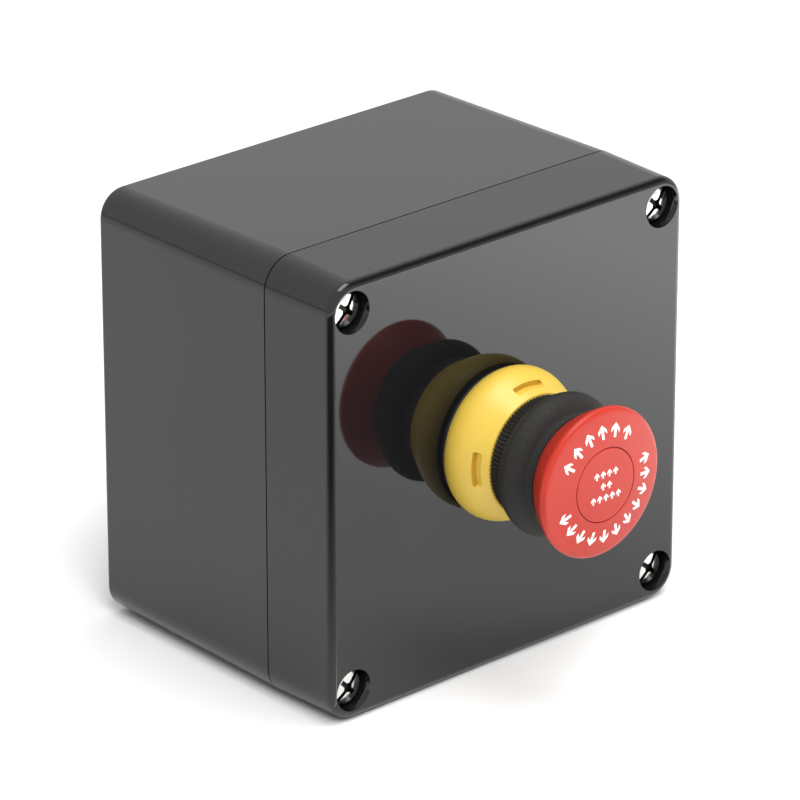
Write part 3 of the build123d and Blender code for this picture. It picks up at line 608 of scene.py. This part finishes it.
def buildBellows(values):
    bulge, wall, waist = values["bulge"], values["wall"], values["waist"]
    foot, footInner, footLow = values["footRadius"], values["footInner"], values["footLow"]
    bulgeTop, lipTop, lipRadius = values["bulgeTop"], values["lipTop"], values["lipRadius"]
    low = values["ringTop"] + 0.15
    waistLow = bulgeTop + 3.6
    profile = [
        # outside, from the foot up to the lip
        (footInner, footLow, 0), (foot, footLow, 0), (foot, footLow + 1.0, 0), (foot - 0.55, footLow + 1.0, 0),
        (foot - 0.55, low, 0), (bulge - 1.6, low, 0.9), (bulge, low + 2.0, 1.3),
        (bulge, bulgeTop, 2.0), (bulge - 1.7, bulgeTop + 2.4, 1.2), (waist, waistLow, 1.0),
        (waist, lipTop - 1.15, 0.2), (lipRadius, lipTop - 1.0, 0.3), (lipRadius, lipTop, 0.2),
        # and back down the inside
        (values["hubClear"], lipTop, 0), (values["hubClear"], lipTop - wall, 0),
        (waist - wall, lipTop - wall - 0.2, 0.4), (waist - wall, waistLow, 0.6),
        (bulge - wall - 1.5, bulgeTop + 1.5, 0.8), (bulge - wall, bulgeTop - 0.4, 0.9),
        (bulge - wall, low + 2.4, 0.6), (bulge - wall - 1.0, low + wall, 0.4), (footInner, low + wall, 0),
    ]
    piece = finishPiece(spinProfile(profile), "bellowsCover", "enclosure", "bellows_rubber", ["bellows"],
                        sharp=50)
    at(0, footLow)
    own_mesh(piece)


buildBellows(bellows)
print("bellows ready")


# millimetres; a cut is (length, width, depth), and "turns" gives each corner's slot angle in degrees
lidScrew = {
    "headRadius": 5.1, "headLow": -5.8, "headTop": -2.2, "edge": 1.3,
    "core": 2.45, "thread": 2.9, "pitch": 1.25, "threadTurns": 14, "tip": -34.0, "shank": 2.9, "shankLength": 8.0,
    "slot": (11.0, 1.1, 1.5), "cross": (5.4, 1.3, 1.9), "heart": (2.5, 2.5, 1.7),
    "crown": 0.5, "headSteps": 6, "headSides": 72, "shaftSides": 32, "chamfer": 1.2, "threadWidth": 0.8,
    "turns": {(-1, 1): 53, (1, 1): 47, (1, -1): 50, (-1, -1): 44},
}


def addCoil(bm, section, centre, axis, rise, turns, steps):
    # sweeps a closed section round an axis while it climbs, and closes both ends
    loop = [bm.verts.new(point) for point in section]
    for first, second in zip(loop, loop[1:] + loop[:1]):
        bm.edges.new((first, second))
    edges = {edge for vert in loop for edge in vert.link_edges}
    climb = Vector(axis) * (rise / steps)
    bmesh.ops.spin(bm, geom=loop + list(edges), cent=centre, axis=axis, dvec=climb, angle=2 * math.pi * turns,
                   steps=round(steps * turns))
    ends = [edge for edge in bm.edges if edge.is_boundary]
    bmesh.ops.holes_fill(bm, edges=ends, sides=0)


def addBox(bm, size, low, high, turn):
    # a cutter bar across the head, "turn" degrees from level
    made = bmesh.ops.create_cube(bm, size=1)["verts"]
    bmesh.ops.scale(bm, verts=made, vec=(size[0] * mm, (high - low) * mm, size[1] * mm))
    bmesh.ops.rotate(bm, verts=made, matrix=Matrix.Rotation(-math.radians(turn), 3, "Y"))
    bmesh.ops.translate(bm, verts=made, vec=(0, lidFront - (low + high) / 2 * mm, 0))


def cutMesh(solid, cutters, name):
    # takes the cutters out of a solid and returns the mesh that is left
    objects = []
    for bm in [solid] + cutters:
        bmesh.ops.recalc_face_normals(bm, faces=bm.faces[:])
        mesh = bpy.data.meshes.new(name + "Draft")
        mesh.materials.append(slotMaterials["screw_steel"])
        mesh.materials.append(slotMaterials["slot_shade"])
        for face in bm.faces:
            # faces cut by the slot bars take the second material, the slot's painted shade
            face.material_index = 0 if bm is solid else 1
        bm.to_mesh(mesh)
        bm.free()
        piece = bpy.data.objects.new(name + "Draft", mesh)
        bpy.context.scene.collection.objects.link(piece)
        objects.append(piece)
    for cutter in objects[1:]:
        cut = objects[0].modifiers.new("cut", "BOOLEAN")
        cut.object = cutter
        cut.solver = "EXACT"
    bpy.context.view_layer.update()
    ready = objects[0].evaluated_get(bpy.context.evaluated_depsgraph_get())
    result = bpy.data.meshes.new_from_object(ready)
    for piece in objects:
        bpy.data.objects.remove(piece)
    return result


def turnScrew(profile, sides):
    # spins an open profile of (radius, stand-off) points about the screw's own axis
    bm = bmesh.new()
    corners = [bm.verts.new((radius * mm, lidFront - standOff * mm, 0)) for radius, standOff in profile]
    for first, second in zip(corners, corners[1:]):
        bm.edges.new((first, second))
    bmesh.ops.spin(bm, geom=bm.verts[:] + bm.edges[:], cent=(0, 0, 0), axis=(0, 1, 0), angle=2 * math.pi,
                   steps=sides, use_merge=True)
    bmesh.ops.remove_doubles(bm, verts=bm.verts[:], dist=1e-7)
    return bm


def screwHead(values, turn):
    radius, low, top = values["headRadius"], values["headLow"], values["headTop"]
    edge, crown, steps = values["edge"], values["crown"], values["headSteps"]
    profile = [(0, low), (radius - 0.15, low), (radius, low + 0.2), (radius, top - edge - crown)]
    for step in range(1, steps + 1):
        lean = math.pi / 2 * step / steps
        profile.append((radius - edge * (1 - math.cos(lean)), top - crown - edge * (1 - math.sin(lean))))
    inner = radius - edge
    for step in range(1, steps + 1):
        reach = inner * (1 - step / steps)
        profile.append((reach, top - crown * (reach / inner) ** 2))
    bm = turnScrew(profile, values["headSides"])
    cutters = []
    for length, width, depth, lean in ((*values["slot"], 0), (*values["cross"], 90), (*values["heart"], 45)):
        cutter = bmesh.new()
        addBox(cutter, (length, width), top - depth, top + 1, turn + lean)
        cutters.append(cutter)
    return cutMesh(bm, cutters, "screwHead")


def screwShaft(values):
    low, tip, shank, core = values["headLow"], values["tip"], values["shank"], values["core"]
    chamfer, width, sides = values["chamfer"], values["threadWidth"], values["shaftSides"]
    shankEnd = low - values["shankLength"]
    profile = [(0, low + 0.2), (shank, low + 0.2), (shank, shankEnd), (core, shankEnd - 0.5),
               (core, tip + chamfer), (core - chamfer, tip), (0, tip)]
    bm = turnScrew(profile, sides)
    start, root = tip + 1.6, core - 0.2
    ridge = [(root, start), (values["thread"], start + width / 2), (root, start + width)]
    section = [(radius * mm, lidFront - standOff * mm, 0) for radius, standOff in ridge]
    addCoil(bm, section, (0, 0, 0), (0, -1, 0), values["pitch"] * mm, values["threadTurns"], sides)
    bmesh.ops.recalc_face_normals(bm, faces=bm.faces[:])
    return bm


def buildLidScrews(values):
    low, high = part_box("lid_screws")
    reach = values["headRadius"] * mm
    for place, ((sideX, sideZ), turn) in enumerate(values["turns"].items()):
        bm = screwShaft(values)
        bm.from_mesh(screwHead(values, turn))
        centre = (sideX * (high.x - reach), 0, sideZ * (high.z - reach))
        bmesh.ops.translate(bm, verts=bm.verts[:], vec=centre)
        finishPiece(bm, "lidScrew" + str(place + 1), "enclosure", "screw_steel",
                    ["lid_screws"] if place == 0 else (), second="slot_shade", sharp=28)


buildLidScrews(lidScrew)
print("lid screws ready")


contactSpring = {"wire": 0.25, "turns": 5, "steps": 28, "sides": 8}  # wire radius in millimetres


def buildContactSpring(values, side):
    node = "contact_spring_" + side
    low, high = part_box(node)
    centre = ((low.x + high.x) / 2, high.y, (low.z + high.z) / 2)
    wire = values["wire"] * mm
    radius = (high.x - low.x) / 2 - wire
    section = []
    for step in range(values["sides"]):
        lean = math.tau * step / values["sides"]
        across, along = wire * math.cos(lean), wire * math.sin(lean)
        section.append((centre[0] + radius + across, high.y - wire - along, centre[2]))
    bm = bmesh.new()
    rise = (high.y - low.y - 2 * wire) / values["turns"]
    addCoil(bm, section, centre, (0, -1, 0), rise, values["turns"], values["steps"])
    bmesh.ops.recalc_face_normals(bm, faces=bm.faces[:])
    piece = finishPiece(bm, "contactCoil" + side.capitalize(), "enclosure", "spring_steel", [node])
    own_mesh(piece)


for side in ("left", "right"):
    buildContactSpring(contactSpring, side)
print("contact springs ready")
